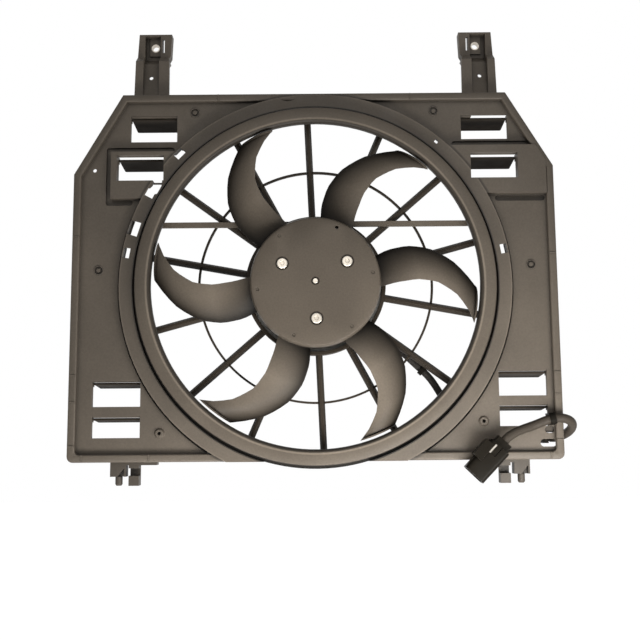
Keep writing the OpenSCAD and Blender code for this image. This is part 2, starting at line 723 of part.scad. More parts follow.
head_r = 7;
head_sink = 1.6;
fan_screw_r = 2.5;
module fan() {
    color(plastic) stand() difference() {
        union() {
            rotate_extrude($fn = 120) polygon([[0, hub_face - hub_t], [hub_r - hub_t, hub_face - hub_t],
                [hub_r - hub_t, -1], [hub_r, -1], [hub_r, hub_face - 8], [hub_r - 0.6, hub_face - 4],
                [hub_r - 2.2, hub_face - 1], [hub_r - 4.5, hub_face], [0, hub_face]]);
            for (i = [0 : blade_n - 1]) rotate(blade_first + i * 360 / blade_n) blade();
        }
        screw_places() translate([0, 0, hub_face - head_sink]) cylinder(r = head_r + 1, h = 5);
        screw_places() translate([0, 0, 0]) cylinder(r = fan_screw_r + 0.2, h = 50);
        translate([0, 0, 0]) cylinder(r = shaft_r + 0.8, h = 50);
        for (i = [0 : 5]) rotate(8 + 60 * i) translate([77.5, 0, hub_face - (i == 1 ? 10 : 0.8)])
            cylinder(r = 2.4, h = 20);
    }
}

module fan_screws() {
    color(steel) stand() screw_places() rotate_extrude($fn = 32) polygon([
        [0, screw_end], [fan_screw_r - 0.4, screw_end], [fan_screw_r, screw_end + 0.6],
        [fan_screw_r, hub_face - head_sink], [head_r, hub_face - head_sink],
        [head_r, hub_face + 0.2], [head_r - 1, hub_face + 1], [3, hub_face + 1], [2.4, hub_face - 0.4],
        [0, hub_face - 0.4]]);
}

module rotor_bell() {
    color("#8a8680") stand() difference() {
        rotate_extrude($fn = 96) polygon([[shaft_r, bell_front - bell_t - 4],
            [shaft_r + 5, bell_front - bell_t - 4], [shaft_r + 5, bell_front - bell_t],
            [bell_r - bell_t, bell_front - bell_t], [bell_r - bell_t, bell_back],
            [bell_r, bell_back], [bell_r, bell_front - 3], [bell_r - 3, bell_front],
            [shaft_r, bell_front]]);
        screw_places() translate([0, 0, bell_front - 12]) cylinder(r = fan_screw_r, h = 20);
        for (i = [0 : 5]) rotate(screw_first + 60 + 60 * i) translate([28, 0, bell_front - 10])
            cylinder(r = 5, h = 20);
    }
}

module rotor_magnets() {
    span = 360 / magnet_n;
    color("#4a4a4c") stand() for (i = [0 : magnet_n - 1])
        slab(bell_back + 1, bell_front - bell_t - 4) intersection() {
            washer(bell_r - bell_t, bell_r - bell_t - magnet_t);
            slice(i * span + 1, (i + 1) * span - 1, bell_r + 20);
        }
}

module motor_shaft() {
    color(steel) stand() rotate_extrude($fn = 48) polygon([[0, ledge_h - 3], [shaft_r, ledge_h - 3],
        [shaft_r, hub_face + 0.3], [shaft_r - 0.6, hub_face + 0.9], [0, hub_face + 0.9]]);
}

// Bearings in the tube of the motor base
front_bearing_h = stator_high - bearing_w;
rear_bearing_h = base_front - base_t + 1;
module bearing(low) {
    color("#b8b8ba") stand() translate([0, 0, low]) difference() {
        cylinder(r = bearing_r, h = bearing_w);
        translate([0, 0, -cut]) cylinder(r = shaft_r + shaft_clear, h = bearing_w + 2 * cut);
        for (h = [-cut, bearing_w - 0.5]) translate([0, 0, h]) difference() {
            cylinder(r = bearing_r - 1.5, h = 0.5 + cut);
            cylinder(r = shaft_r + 1.2, h = 0.5 + cut);
        }
    }
}

module front_bearing() { bearing(front_bearing_h); }
module rear_bearing() { bearing(rear_bearing_h); }

module stator_core() {
    tooth_w = 8;
    yoke = tube_r + 12;
    color("#6d6a66") stand() slab(stator_low, stator_high) difference() {
        union() {
            circle(r = yoke);
            for (i = [0 : tooth_n - 1]) rotate(i * 360 / tooth_n)
                translate([yoke - 2, -tooth_w / 2]) square([core_r - yoke, tooth_w]);
            difference() {
                washer(core_r, core_r - 3);
                for (i = [0 : tooth_n - 1]) rotate((i + 0.5) * 360 / tooth_n)
                    translate([0, -2]) square([core_r + 5, 4]);
            }
        }
        circle(r = tube_r);
    }
}

module stator_coils() {
    tooth_w = 8;
    clear = 0.25;
    wind = 4;
    inner = tube_r + 14;
    color("#a4602f") stand() for (i = [0 : tooth_n - 1]) rotate(i * 360 / tooth_n) difference() {
        block([inner + 5, -tooth_w / 2 - wind, stator_low - wind], [core_r - 5, tooth_w / 2 + wind,
            stator_high + wind]);
        block([inner, -tooth_w / 2 - clear, stator_low - clear], [core_r, tooth_w / 2 + clear,
            stator_high + clear]);
    }
}

module motor_base() {
    color("#a9a8a4") stand() difference() {
        union() {
            slab(ledge_h, base_front) circle(r = motor_ring_r - motor_ring_t - seat_gap);
            slab(base_front - cut, stator_low) circle(r = tube_r + 6);
            slab(base_front - cut, stator_high) circle(r = tube_r);
        }
        translate([0, 0, rear_bearing_h + bearing_w]) cylinder(r = bearing_r - 2, h = 60);
        translate([0, 0, ledge_h - cut]) cylinder(r = shaft_r + 2, h = 60);
        translate([0, 0, rear_bearing_h]) cylinder(r = bearing_r, h = bearing_w);
        translate([0, 0, front_bearing_h]) cylinder(r = bearing_r, h = 60);
        motor_screw_places() translate([0, 0, ledge_h - cut]) cylinder(r = screw_shank_r, h = 20);
        cover_screw_places() translate([0, 0, ledge_h - cut]) cylinder(r = screw_shank_r, h = 4);
    }
}

module motor_screws() {
    color(steel) stand() motor_screw_places() rotate_extrude($fn = 32) polygon([
        [0, -spoke_back - 2.4], [3.6, -spoke_back - 2.4], [4.2, -spoke_back - 1.8],
        [4.2, -spoke_back], [screw_shank_r, -spoke_back], [screw_shank_r, ledge_h + 4],
        [0, ledge_h + 4]]);
}

// Rear cover: a cup behind the motor base, with cooling fins across its back
cover_t = 2.5;
cover_screw_n = 4;
cover_screw_r = cover_r - 7;
gland_angle = 320;
gland_h = -29.5;
module cover_screw_places() {
    for (i = [0 : cover_screw_n - 1]) rotate(i * 360 / cover_screw_n)
        translate([cover_screw_r, 0, 0]) children();
}

module rear_cover() {
    floor_h = -cover_back + fin_h;
    color("#3d3935") stand() difference() {
        union() {
            difference() {
                rotate_extrude($fn = 96) polygon([[0, floor_h], [cover_r - 4, floor_h],
                    [cover_r, floor_h + 4], [cover_r, ledge_h], [0, ledge_h]]);
                translate([0, 0, floor_h + cover_t]) cylinder(r = cover_r - cover_t, h = 40);
            }
            slab(floor_h - fin_h, floor_h + 1) intersection() {
                circle(r = cover_r - 8);
                for (x = [-56 : 8 : 56]) translate([x - 1, -cover_r]) square([2, 2 * cover_r]);
            }
            cover_screw_places() translate([0, 0, floor_h + 1]) cylinder(r = 5, h = ledge_h - floor_h - 1);
            rotate(gland_angle) translate([cover_r - 10, 0, gland_h]) rotate([0, 90, 0])
                cylinder(r = lead_d / 2 + 4, h = 14);
        }
        cover_screw_places() translate([0, 0, -60]) cylinder(r = screw_shank_r + 0.3, h = 60);
        cover_screw_places() translate([0, 0, -60]) cylinder(r = 4.6, h = 60 + floor_h + 2);
        rotate(gland_angle) translate([cover_r - 12, 0, gland_h]) rotate([0, 90, 0])
            cylinder(r = lead_d / 2 + 2, h = 30);
    }
}

module cover_screws() {
    floor_h = -cover_back + fin_h;
    color(steel) stand() cover_screw_places() rotate_extrude($fn = 32) polygon([
        [0, floor_h], [3.4, floor_h], [4, floor_h + 0.5], [4, floor_h + 2],
        [screw_shank_r, floor_h + 2], [screw_shank_r, ledge_h + 2.5], [0, ledge_h + 2.5]]);
}

module controller_board() {
    board_h = ledge_h - 9;
    r = cover_r - cover_t - 1;
    color("#2f5d3a") stand() difference() {
        union() {
            slab(board_h - 1.6, board_h) circle(r = r);
            for (a = [100, 130, 160]) rotate(a) translate([42, 0, board_h - 10]) cylinder(r = 7, h = 10);
            for (a = [200 : 24 : 296]) rotate(a) translate([36, -5, board_h - 5]) cube([14, 10, 5]);
            block([-14, -12, board_h - 3.5], [14, 12, board_h]);
        }
        cover_screw_places() translate([0, 0, -60]) cylinder(r = 5 + seat_gap, h = 60);
        rotate(gland_angle) translate([cover_r - 16, -lead_d / 2 - 5, board_h - 8])
            cube([20, lead_d + 10, 20]);
    }
}

// Rubber gland in the rear cover's wall
gland_end = cover_r + 9;
module cable_gland() {
    r = lead_d / 2;
    color("#1d1b19") stand() rotate(gland_angle) translate([0, 0, gland_h]) rotate([0, 90, 0])
        rotate_extrude($fn = 48) polygon([[r, cover_r - 9], [r + 2, cover_r - 9], [r + 2, cover_r + 4],
            [r + 3.4, cover_r + 4], [r + 3.4, cover_r + 6], [r + 1.2, gland_end], [r, gland_end]]);
}

// Wiring: routes are points of x, y and height
gland_dir = [cos(gland_angle), sin(gland_angle), 0];
lead_start = (cover_r - 8) * gland_dir + [0, 0, gland_h];
edge_end = [318, -209, -29];
lead_route = [lead_start, (cover_r + 4) * gland_dir + [0, 0, gland_h],
    (cover_r + 18) * gland_dir + [0, 0, gland_h], [93, -73, -28.5], [115.8, -88.5, -28],
    [136.1, -107.2, -28], [155, -125.8, -28.5], [168.5, -146, -29], [180, -168, -29.5],
    [196, -188, -29.5], [216, -202, -29],
    [240, -208.5, -29], [266, -209, -29], [292, -209, -29], edge_end];
connector_angle = 226;
connector_at = [240, -218.4, rim_h + seat_gap + connector_w / 2 - 3];
connector_dir = [cos(connector_angle), sin(connector_angle), 0];
pigtail_route = [edge_end, [324, -209, -29], [330, -207.8, -27], [335.4, -205, -22],
    [339.4, -201.6, -15.6], [341.4, -197.4, -7.6], [341, -192.8, 0.6], [338, -188.6, 7.8],
    [332.6, -185.4, 12.8], [326, -183.4, 14.8], [319, -182.9, 14.6], [311, -184, 14.2],
    [303, -186.2, 13.8], [295, -189.4, 12.8], [286.5, -192.6, 12.4], [278, -195.4, 13.6],
    [270, -198, 15.8], [262.5, -200.8, 18], [256, -204.2, 19.4],
    connector_at - 14 * connector_dir - [0, 0, 0.4],
    connector_at - 9.5 * connector_dir, connector_at - 5 * connector_dir];

function unit(v) = v / norm(v);
function tangent(p, i) = unit(p[min(i + 1, len(p) - 1)] - p[max(i - 1, 0)]);
function side_of(t) = let (ref = abs(t.z) < 0.8 ? [0, 0, 1] : [1, 0, 0]) unit(cross(t, ref));
function ring_at(p, i, r, sides) = let (t = tangent(p, i), u = side_of(t), v = cross(t, u))
    [for (k = [0 : sides - 1]) p[i] + r * (cos(360 * k / sides) * u + sin(360 * k / sides) * v)];
function smooth(p, per) = [for (i = [0 : len(p) - 2]) for (j = [0 : per - 1])
    let (t = j / per, a = p[max(i - 1, 0)], b = p[i], c = p[i + 1], d = p[min(i + 2, len(p) - 1)])
    0.5 * (2 * b + t * (c - a) + t * t * (2 * a - 5 * b + 4 * c - d)
    + t * t * t * (3 * b - a - 3 * c + d)), p[len(p) - 1]];
module tube(route, d, sides) {
    n = len(route);
    points = [for (i = [0 : n - 1]) each ring_at(route, i, d / 2, sides)];
    faces = concat(
        [for (i = [0 : n - 2]) for (k = [0 : sides - 1]) let (a = i * sides + k,
            b = i * sides + (k + 1) % sides) each [[a, b + sides, b], [a, a + sides, b + sides]]],
        [[for (k = [0 : sides - 1]) k]],
        [[for (k = [sides - 1 : -1 : 0]) (n - 1) * sides + k]]);
    polyhedron(points, faces, convexity = 8);
}

module motor_lead() {
    color(dark_plastic) stand() tube(smooth(lead_route, 2), lead_d - 0.1, 10);
}

module pigtail() {
    color("#4b4540") stand() tube(pigtail_route, pigtail_d, 10);
}

// A clip that holds a cable from a foot: the foot stands on the given height, and an arm
// may reach aside from it
module saddle(at, angle, r, foot_h, wide, arm = 0) {
    translate([at.x, at.y, 0]) rotate(angle) difference() {
        union() {
            translate([-wide / 2, 0, at.z]) rotate([0, 90, 0]) cylinder(r = r + 2, h = wide, $fn = 32);
            block([-wide / 2, -r - 2, min(at.z, foot_h)], [wide / 2, r + 2, max(at.z, foot_h)]);
            if (arm > 0) block([-wide / 2, 0, foot_h - 2.5], [wide / 2, r + 2 + arm, foot_h]);
        }
        translate([-wide, 0, at.z]) rotate([0, 90, 0]) cylinder(r = r + seat_gap, h = 2 * wide, $fn = 32);
    }
}

module lead_clips() {
    color(dark_plastic) stand() {
        saddle([145.5, -116.3, -28.2], -44, lead_d / 2, -spoke_back, 6, 4);
        for (x = [246, 306]) saddle([x, -209, -29], 0, lead_d / 2, -sheet_t, 7);
    }
}

// Clip that holds the pigtail on the panel beside the rim
module edge_clip() {
    color("#171513") stand() saddle([311, -184, 14.2], 12, pigtail_d / 2, 0, 8);
}

// Connector: it lies askew over the panel's bottom edge, its mouth away from the cable
half_w = connector_w / 2;
module connector_frame() {
    translate(connector_at) rotate(connector_angle) children();
}

// Outline of the connector seen along its length, moved in by g
module connector_section(g) {
    hull() for (x = [-1, 1], y = [-1, 1])
        translate([x * (half_w - 6), y * (half_w - 9)]) circle(r = 6 - g, $fn = 32);
}

module connector_housing() {
    color("#2a2622") stand() connector_frame() rotate([90, 0, 90]) difference() {
        union() {
            translate([0, 0, 2]) linear_extrude(height = connector_l + 12) connector_section(0);
            linear_extrude(height = 3) connector_section(2.5);
            // bridge over the latch lever
            block([-half_w - 5, -3, 7], [-7.6, half_w + 0.5, 33]);
        }
        translate([0, 0, 26]) linear_extrude(height = connector_l) connector_section(2.5);
        for (x = [-6.5, 6.5]) translate([x, 0, -cut]) cylinder(r = 3.2, h = 60);
        block([-7.3, half_w - 5, 3.6], [-4.7, half_w + 2, 17.3]);
        block([-4.8, half_w - 4.3, -cut], [3, half_w + 2, 17.3]);
    }
}

module connector_cap() {
    color("#1f1c19") stand() connector_frame() rotate([90, 0, 90]) difference() {
        translate([0, 0, -8]) linear_extrude(height = 8) connector_section(4.5);
        translate([0, 0, -10]) cylinder(r = pigtail_d / 2 + 0.2, h = 5);
        translate([0, 0, -6]) cylinder(r = pigtail_d / 2 - 1, h = 20);
    }
}

// Bright slider in the slot beside the latch
module connector_lock() {
    color("#8c857b") stand() connector_frame() rotate([90, 0, 90])
        block([-7, half_w - 5, 3.9], [-5, half_w - 3.2, 17]);
}

module connector_terminals() {
    color("#b59a5a") stand() connector_frame() rotate([90, 0, 90])
        for (x = [-6.5, 6.5]) translate([x, 0, 2]) cylinder(r = 3, h = 40);
}

shroud_panel();
fan_ring();
motor_spokes();
spoke_hoop();
tie_bar();
motor_ring();
left_bracket();
right_bracket();
bracket_bushes();
left_foot();
right_foot();
flap_left_1();
flap_left_2();
flap_left_3();
flap_left_4();
flap_right_1();
flap_right_2();
flap_right_3();
flap_right_4();
fan();
fan_screws();
rotor_bell();
rotor_magnets();
motor_shaft();
front_bearing();
rear_bearing();
stator_core();
stator_coils();
motor_base();
controller_board();
rear_cover();
motor_screws();
cover_screws();
cable_gland();
motor_lead();
lead_clips();
edge_clip();
pigtail();
connector_housing();
connector_cap();
connector_lock();
connector_terminals();
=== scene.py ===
# %% [markdown]
# # A condenser fan, dressed for its picture
#
# The solid model already has every piece of the fan in its real place. This lesson gives those
# pieces their finishes, replaces the few that a solid model draws too stiffly, such as the
# woven lead, and sets up the camera and the light. We start by loading the solids, because
# everything after this is placed from them.

# %% Load the solids
import math

import bmesh
import bpy
from mathutils import Matrix, Vector


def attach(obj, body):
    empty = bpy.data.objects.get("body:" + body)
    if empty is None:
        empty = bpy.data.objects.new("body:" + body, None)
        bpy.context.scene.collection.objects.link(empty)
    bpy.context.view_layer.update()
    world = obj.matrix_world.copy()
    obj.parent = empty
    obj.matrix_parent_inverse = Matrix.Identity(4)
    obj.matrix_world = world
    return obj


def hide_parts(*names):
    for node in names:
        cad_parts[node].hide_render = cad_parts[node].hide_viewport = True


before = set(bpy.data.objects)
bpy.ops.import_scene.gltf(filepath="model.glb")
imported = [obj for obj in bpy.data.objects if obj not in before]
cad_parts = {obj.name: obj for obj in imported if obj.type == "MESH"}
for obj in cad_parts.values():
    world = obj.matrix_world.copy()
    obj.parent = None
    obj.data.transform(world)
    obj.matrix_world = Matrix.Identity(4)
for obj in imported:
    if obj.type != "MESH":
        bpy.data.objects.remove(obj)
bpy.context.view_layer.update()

# %% [markdown]
# ## Places on the fan
#
# The fan was drawn on a sheet: x to the right, y upwards, both from the fan's axis, and h
# towards the viewer from the face of the panel, all in millimetres. The scene is in metres and
# hangs from the two bolts at the top. One small function turns a place on the sheet into a
# place in the scene, so the numbers below can be read off the drawing.

# %% From the drawing to the scene
BOLT_MIDDLE_X = 2.0
BOLT_Y = 348.0
BOLT_BACK = 25.0


def place(x, y, h):
    """A place on the drawing, in millimetres, as a place in the scene, in metres."""
    return Vector(((x - BOLT_MIDDLE_X) / 1000, (-h - BOLT_BACK) / 1000, (y - BOLT_Y) / 1000))


AXIS = place(0, 0, 0)
print("fan axis at", [round(v, 4) for v in AXIS])

# %% [markdown]
# ## The camera
#
# The camera stands where the picture was taken from. It is a normal lens about 1.2 m in front
# of the panel, a little below the middle and tipped up by 7 degrees, so the upper edge is
# slightly smaller than the lower one. Its place was worked out from round
# and straight edges whose sizes are known: the ring, the panel's corners and the bolts.

# %% Camera
CAMERA_PLACE = (0.00374, -1.21018, -0.54209)
TIP_UP = math.radians(7.0)
ROLL = math.radians(0.45)
FOCAL_PIXELS = 882.0
PICTURE_PIXELS = 640.0

forward = Vector((0, math.cos(TIP_UP), math.sin(TIP_UP)))
level_right = Vector((1, 0, 0))
level_up = Vector((0, -math.sin(TIP_UP), math.cos(TIP_UP)))
right = level_right * math.cos(ROLL) - level_up * math.sin(ROLL)
up = level_right * math.sin(ROLL) + level_up * math.cos(ROLL)

camera_data = bpy.data.cameras.new("camera")
camera_data.sensor_width = 36.0
camera_data.lens = FOCAL_PIXELS / PICTURE_PIXELS * camera_data.sensor_width
camera = bpy.data.objects.new("camera", camera_data)
turn = Matrix((right, up, -forward)).transposed().to_4x4()
camera.matrix_world = Matrix.Translation(CAMERA_PLACE) @ turn
bpy.context.scene.collection.objects.link(camera)
bpy.context.scene.camera = camera
print("lens", round(camera_data.lens, 2), "mm")

# %% [markdown]
# ## Nodes for finishes
#
# Every finish is built from the same few steps: a noise for the slow change of colour, a finer
# one for the grain, and a bump. A helper that makes a node, sets its sockets and joins its
# inputs keeps each finish short enough to read. The floor and the world use it too.

# %% Node helper


class Nodes:
    """A node tree, and a short way to add nodes to it."""

    def __init__(self, tree):
        self.tree = tree

    def fill(self, socket, value):
        """Joins a socket to another one, or sets its value."""
        if isinstance(value, bpy.types.NodeSocket):
            self.tree.links.new(value, socket)
        else:
            socket.default_value = value

    def add(self, kind, inputs=(), **settings):
        node = self.tree.nodes.new(kind)
        for key, value in settings.items():
            setattr(node, key, value)
        for key, value in dict(inputs).items():
            self.fill(node.inputs[key], value)
        return node

    def math(self, operation, a, b=0.0):
        return self.add("ShaderNodeMath", {0: a, 1: b}, operation=operation).outputs[0]

    def wave(self, turns):
        """A sine wave, once up and down for each whole number."""
        return self.math("SINE", self.math("MULTIPLY", turns, math.tau))

    def share(self, value, low, high, at_low=0.0, at_high=1.0):
        """A straight line from at_low to at_high, and flat outside low and high."""
        made = self.add("ShaderNodeMapRange", {"Value": value, "From Min": low, "From Max": high,
                                               "To Min": at_low, "To Max": at_high})
        return made.outputs["Result"]

    def seen(self):
        """1 for what the camera, a reflection or a view through glass sees, else 0."""
        ray = self.add("ShaderNodeLightPath").outputs
        direct = self.math("ADD", ray["Is Camera Ray"], ray["Is Glossy Ray"])
        return self.math("MINIMUM", self.math("ADD", direct, ray["Is Transmission Ray"]), 1.0)


def scaled(colour, factor):
    return tuple(channel * factor for channel in colour)


print("node helper ready")

# %% [markdown]
# A finish is a material whose nodes start from one Principled shader. Its noises, ramps and
# masks all work from the place on the object, so they turn with a piece that turns.

# %% Finish helper
NOISE_LOW, NOISE_HIGH = 0.3, 0.7  # most values of a noise lie between these
BRIGHTEST = 2.0  # the most that a round tone multiplies a colour by
WELL_EDGE = 1.16  # a well fades out at this multiple of its reach
BEVEL_SAMPLES = 4
EDGE_STARTS, EDGE_FULL = 0.995, 0.86  # how far the two normals of an edge agree
CORNER_REACH = 0.014
CORNER_TIGHT, CORNER_OPEN = 0.35, 0.85  # shares of open space round a place


class Finish(Nodes):
    """A material with its shader, and the steps that the finishes share."""

    def __init__(self, name, colour, roughness, metallic=0.0):
        self.name = name
        self.material = bpy.data.materials.new(name + "_finish")
        self.material.use_nodes = True
        super().__init__(self.material.node_tree)
        self.shader = self.tree.nodes["Principled BSDF"]
        self.put("Base Color", (*colour, 1.0))
        self.put("Roughness", roughness)
        self.put("Metallic", metallic)
        self.where = self.add("ShaderNodeTexCoord").outputs["Object"]

    def put(self, socket, value):
        self.fill(self.shader.inputs[socket], value)

    def noise(self, scale, detail=3.0, rough=0.5):
        made = self.add("ShaderNodeTexNoise", {"Vector": self.where, "Scale": scale,
                                               "Detail": detail, "Roughness": rough})
        return made.outputs["Fac"]

    def ramp(self, value, stops):
        made = self.add("ShaderNodeValToRGB", {"Fac": value})
        bar = made.color_ramp
        while len(bar.elements) < len(stops):
            bar.elements.new(0.5)
        for element, (position, colour) in zip(bar.elements, stops):
            element.position = position
            element.color = (*colour, 1.0)
        return made.outputs["Color"]

    def clouds(self, value, low, high):
        """The two colours where a noise is low and where it is high."""
        return self.ramp(value, [(NOISE_LOW, low), (NOISE_HIGH, high)])

    def between(self, value, low, high):
        """A noise stretched to a range."""
        return self.share(value, NOISE_LOW, NOISE_HIGH, low, high)

    def mix(self, factor, a, b, blend="MIX"):
        a, b = ((*side, 1.0) if isinstance(side, tuple) else side for side in (a, b))
        made = self.add("ShaderNodeMix", {0: factor, 6: a, 7: b},
                        data_type="RGBA", blend_type=blend)
        return made.outputs[2]

    def times(self, colour, tone):
        return self.mix(1.0, colour, tone, "MULTIPLY")

    def bump(self, height, depth, strength, normal=None):
        inputs = {"Height": height, "Distance": depth, "Strength": strength}
        if normal is not None:
            inputs["Normal"] = normal
        return self.add("ShaderNodeBump", inputs).outputs["Normal"]

    def rounded(self, radius):
        """The normal that an edge would have if it were round."""
        return self.add("ShaderNodeBevel", {"Radius": radius},
                        samples=BEVEL_SAMPLES).outputs["Normal"]

    def edges(self, rounded):
        """1 on an edge, where the rounded normal turns away from the true one."""
        true_way = self.add("ShaderNodeNewGeometry").outputs["Normal"]
        agree = self.add("ShaderNodeVectorMath", {0: rounded, 1: true_way},
                         operation="DOT_PRODUCT").outputs["Value"]
        return self.share(agree, EDGE_STARTS, EDGE_FULL)

    def open_space(self):
        """0 in a tight corner of the piece, 1 in the open."""
        free = self.add("ShaderNodeAmbientOcclusion", {"Distance": CORNER_REACH}, samples=6,
                        only_local=True).outputs["AO"]
        return self.share(free, CORNER_TIGHT, CORNER_OPEN)

    def towards_viewer(self, back_h, front_h):
        """0 at the depth back_h of the drawing, 1 at front_h."""
        depth = self.add("ShaderNodeSeparateXYZ", {"Vector": self.where}).outputs["Y"]
        return self.share(depth, place(0, 0, back_h).y, place(0, 0, front_h).y)

    def round_painted_light(self, inner, outer, stops):
        """A painted highlight and shade by the distance from the fan's axis, as a multiple of the
        plain tone.
        """
        parts = self.add("ShaderNodeSeparateXYZ", {"Vector": self.where}).outputs
        flat = self.add("ShaderNodeCombineXYZ", {
            "X": self.math("SUBTRACT", parts["X"], AXIS.x),
            "Z": self.math("SUBTRACT", parts["Z"], AXIS.z)}).outputs["Vector"]
        reach = self.add("ShaderNodeVectorMath", {0: flat}, operation="LENGTH").outputs["Value"]
        tone = self.ramp(self.share(reach, inner, outer),
                         [(at, (grey / BRIGHTEST,) * 3) for at, grey in stops])
        return self.add("ShaderNodeVectorMath", {0: tone, 1: (BRIGHTEST,) * 3},
                        operation="MULTIPLY").outputs["Vector"]

    def outside(self, wells):
        """1 away from all the round wells, 0 inside one."""
        result = 1.0
        for centre, reach in wells:
            gap = self.add("ShaderNodeVectorMath", {0: self.where, 1: tuple(centre)},
                           operation="DISTANCE").outputs["Value"]
            result = self.math("MINIMUM", self.share(gap, reach, reach * WELL_EDGE), result)
        return result


print("finish helper ready")

# %% [markdown]
# ## The moulded plastic of the shroud, the fan and the flaps
#
# The shroud is glass-filled nylon or polypropylene, moulded in one shot and never painted. In
# the picture it is a warm dark grey with a soft sheen, slightly cloudy where the melt flowed,
# and each edge has a small radius that catches the light. A Bevel node rounds the edges for
# the shading only, so the solid's shape stays as it is. The same node tells where an edge is,
# by how far its normal turns away from the true one, and there the colour is lighter: a painted
# highlight, and a painted shade where the factor is below 1. In corners, where an Ambient
# Occlusion node finds little open space, it is darker: painted shade. Three more painted tones
# follow the shape of this fan: painted highlights and shades by the distance from its axis, for
# the lip, the grooves and the blades, painted shade by depth, on the sides that turn away from
# the viewer, and painted shade inside the small wells of the hub.

# %% Moulded plastic
# Painted shade: how dark a tight corner of a piece is drawn, where little open space is found.
CORNER_SHADE_TONE = 0.3  # how dark a tight corner is, beside the plain colour
# Painted shade: the tone inside a well of the hub.
WELL_SHADE_TONE = 0.28
FLECK = 0.07  # how far the finest grain changes the colour


def moulded(name, colour, rough, cloud=0.16, grain=1400.0, depth=0.00006, round_by=0.0007,
            painted_edge_tone=1.35, gloss=0.3, back=None, radial=None, wells=()):
    """A moulded plastic. back is (back_h, front_h, tone), a painted shade by depth, and radial
    holds the painted highlights and shades by distance from the axis.
    """
    made = Finish(name, colour, rough)
    body = made.clouds(made.noise(9.0, 4.0), scaled(colour, 1 - cloud), scaled(colour, 1 + cloud))
    fine = made.between(made.noise(420.0, 2.0), 1 - FLECK, 1 + FLECK)
    body = made.times(body, made.add("ShaderNodeCombineColor", {
        "Red": fine, "Green": fine, "Blue": fine}).outputs[0])
    rounded = made.rounded(round_by)
    # Painted highlight along every edge, lighter by the given factor; where the factor is below 1
    # it is painted shade.
    body = made.mix(made.edges(rounded), body, scaled(colour, painted_edge_tone))
    # Painted shade in tight corners.
    body = made.mix(made.open_space(), scaled(colour, CORNER_SHADE_TONE), body)
    # Painted shade by depth: darker towards the back, on the sides that turn away from the viewer.
    if back:
        back_h, front_h, tone = back
        body = made.mix(made.towards_viewer(back_h, front_h), scaled(colour, tone), body)
    # Painted highlights and shades by the distance from the fan's axis.
    if radial:
        body = made.times(body, made.round_painted_light(*radial))
    # Painted shade inside the hub's wells.
    if wells:
        body = made.mix(made.outside(wells), scaled(colour, WELL_SHADE_TONE), body)
    made.put("Base Color", body)
    made.put("Specular IOR Level", gloss)
    made.put("Roughness", made.between(made.noise(34.0, 3.0), rough - 0.05, rough + 0.07))
    made.put("Normal", made.bump(made.noise(grain, 3.0, 0.6), depth, 0.6, rounded))
    return made


print("moulded plastic ready")

# %% [markdown]
# Each list of painted light below runs from an inner to an outer distance from the axis, in
# metres. Its pairs are a share of that way and a tone: painted shade in the throat, a painted
# highlight on the lip's round, painted shade in the groove, then a painted highlight line and a
# painted shade line where the raised zone ends. On the blades it is painted shade at the root
# and towards the tip, and a painted highlight across the middle.

# %% Plastics of the shroud, the fan and the flaps
SHROUD_GREY = (0.108, 0.090, 0.071)
# Painted shade: the spokes, their hoop and the motor ring are the shroud's plastic, drawn in a
# much darker grey for the shade behind the ring.
RIB_SHADED_GREY = (0.034, 0.027, 0.020)
FAN_GREY = (0.122, 0.102, 0.081)
FLAP_GREY = (0.036, 0.030, 0.024)
LIP_PAINTED_LIGHT = (0.2215, 0.2480, [(0.0, 0.28), (0.136, 0.42), (0.189, 1.8), (0.226, 1.8), (0.279, 1.0),
                              (0.75, 1.0), (0.80, 0.25), (1.0, 0.15)])
ZONE_PAINTED_LIGHT = (0.2470, 0.2700, [(0.0, 0.25), (0.06, 0.25), (0.11, 1.0), (0.72, 1.0), (0.77, 1.25),
                               (0.82, 1.25), (0.835, 0.4), (0.91, 0.45), (1.0, 1.0)])
BLADE_PAINTED_LIGHT = (0.080, 0.220, [(0.0, 1.0), (0.052, 1.0), (0.062, 0.3), (0.20, 0.8), (0.42, 1.45),
                              (0.80, 1.25), (1.0, 0.7)])
HUB_FACE = 32.0
SCREW_CIRCLE = 50.0
# Round each screw and at the centre of the hub the colour is darker: painted shade in the wells.
SCREW_WELL, CENTRE_WELL = 0.0085, 0.0052
screw_angles = [math.radians(31.5 + 120 * i) for i in range(3)]
hub_well_shades = [(place(SCREW_CIRCLE * math.cos(a), SCREW_CIRCLE * math.sin(a), HUB_FACE), SCREW_WELL)
             for a in screw_angles] + [(place(0, 0, HUB_FACE), CENTRE_WELL)]

plastics = [
    moulded("shroud", SHROUD_GREY, 0.50),
    moulded("panel", SHROUD_GREY, 0.50, radial=ZONE_PAINTED_LIGHT),
    # The tie bar: a lighter copy of the shroud's grey, a painted highlight on its face, and
    # painted shade along its edges.
    moulded("bar", scaled(SHROUD_GREY, 1.25), 0.50, painted_edge_tone=0.3, round_by=0.0012, gloss=0.15),
    moulded("ring", SHROUD_GREY, 0.46, gloss=0.2, back=(-4.0, 14.0, 0.35), radial=LIP_PAINTED_LIGHT),
    # The ribs: painted shade in their darker grey, and a strong painted highlight on their edges.
    moulded("ribs", RIB_SHADED_GREY, 0.45, painted_edge_tone=2.2, gloss=0.08),
    moulded("foot", scaled(SHROUD_GREY, 0.5), 0.50),
    moulded("fan", FAN_GREY, 0.38, cloud=0.12, gloss=0.09, back=(6.0, 24.0, 0.12),
            radial=BLADE_PAINTED_LIGHT, wells=hub_well_shades),
    moulded("flap", FLAP_GREY, 0.58, cloud=0.12, gloss=0.03),
]
print("plastics:", len(plastics))

